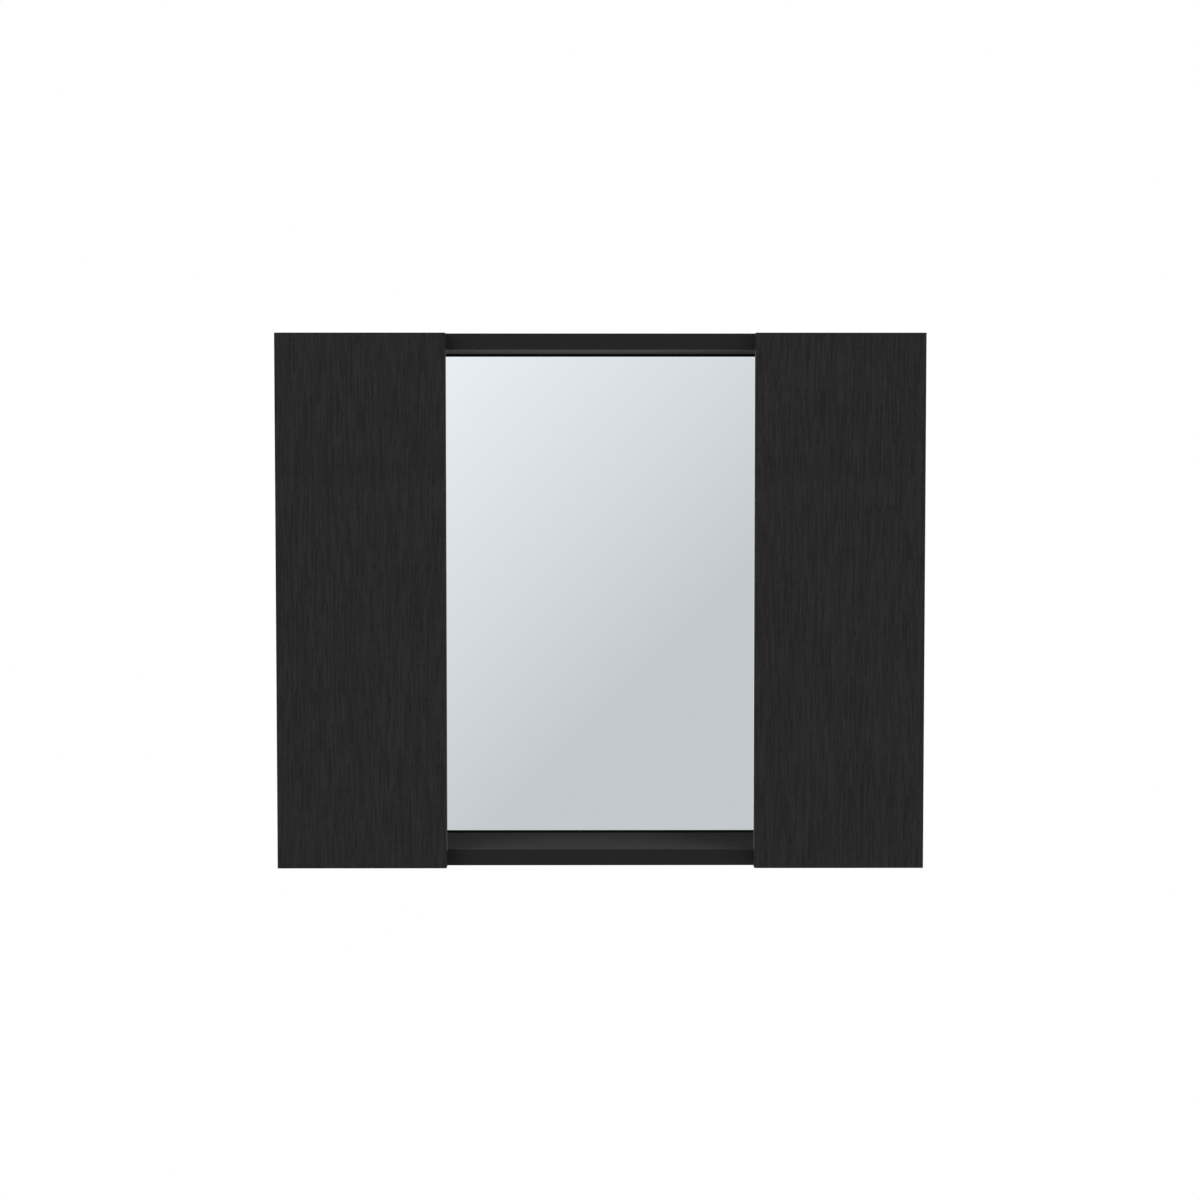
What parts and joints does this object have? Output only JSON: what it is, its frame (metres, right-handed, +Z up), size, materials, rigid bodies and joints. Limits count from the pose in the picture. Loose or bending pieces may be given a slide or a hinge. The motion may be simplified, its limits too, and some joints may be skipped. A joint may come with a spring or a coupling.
{
  "type": "mirrored medicine cabinet",
  "caption": "Wall-hung medicine cabinet with a fixed mirror in an open middle niche and hinged side doors that hide shelves.",
  "frame": {"origin": "on the wall plane, midway between the two wall screws", "axes": "+X to the right as seen from the front, +Y towards the wall, +Z up"},
  "size_m": [0.6, 0.13, 0.496],
  "materials": {
    "charcoal_board": "charcoal wood-grain melamine on particle board, satin",
    "edge_band": "thin charcoal edge band, satin",
    "hardboard": "bare brown hardboard",
    "mirror_glass": "silvered float glass with a fine polished bevel",
    "foam_tape": "white double-sided foam tape",
    "clear_rubber": "clear soft bumper",
    "beech": "plain beech",
    "zinc": "die-cast zinc, satin nickel",
    "steel": "zinc-plated steel",
    "pressed_steel": "nickel-plated pressed steel"
  },
  "bodies": {
    "cabinet": {"left_side_panel": "charcoal_board", "right_side_panel": "charcoal_board", "top_panel": "charcoal_board", "bottom_panel": "charcoal_board", "left_divider": "charcoal_board", "right_divider": "charcoal_board", "back_panel": "hardboard", "left_hanging_rail": "charcoal_board", "right_hanging_rail": "charcoal_board", "left_upper_shelf": "charcoal_board", "left_lower_shelf": "charcoal_board", "right_upper_shelf": "charcoal_board", "right_lower_shelf": "charcoal_board", "shelf_pins": "steel", "mirror": "mirror_glass", "mirror_tapes": "foam_tape", "carcass_edge_bands": "edge_band", "cam_locks": "zinc", "cam_bolts": "steel", "panel_dowels": "beech", "rail_dowels": "beech", "divider_screws": "steel", "back_panel_nails": "steel", "left_upper_hinge_plate": "zinc", "left_lower_hinge_plate": "zinc", "right_upper_hinge_plate": "zinc", "right_lower_hinge_plate": "zinc", "left_upper_hinge_arm": "pressed_steel", "left_lower_hinge_arm": "pressed_steel", "right_upper_hinge_arm": "pressed_steel", "right_lower_hinge_arm": "pressed_steel", "hinge_plate_screws": "steel", "arm_lock_screws": "steel", "arm_adjust_screws": "steel"},
    "left_door_leaf": {"left_door": "charcoal_board", "left_door_edge_bands": "edge_band", "left_upper_hinge_cup": "pressed_steel", "left_lower_hinge_cup": "pressed_steel", "left_hinge_pins": "steel", "left_cup_screws": "steel", "left_door_bumpers": "clear_rubber"},
    "right_door_leaf": {"right_door": "charcoal_board", "right_door_edge_bands": "edge_band", "right_upper_hinge_cup": "pressed_steel", "right_lower_hinge_cup": "pressed_steel", "right_hinge_pins": "steel", "right_cup_screws": "steel", "right_door_bumpers": "clear_rubber"}
  },
  "joints": [
    {"name": "left_door_hinge", "type": "hinge", "parent": "cabinet", "child": "left_door_leaf", "pos_m": [-0.2932, -0.123, -0.203], "axis": [0, 0, -1], "range_deg": [0, 100]},
    {"name": "right_door_hinge", "type": "hinge", "parent": "cabinet", "child": "right_door_leaf", "pos_m": [0.2932, -0.123, -0.203], "axis": [0, 0, 1], "range_deg": [0, 100]}
  ]
}
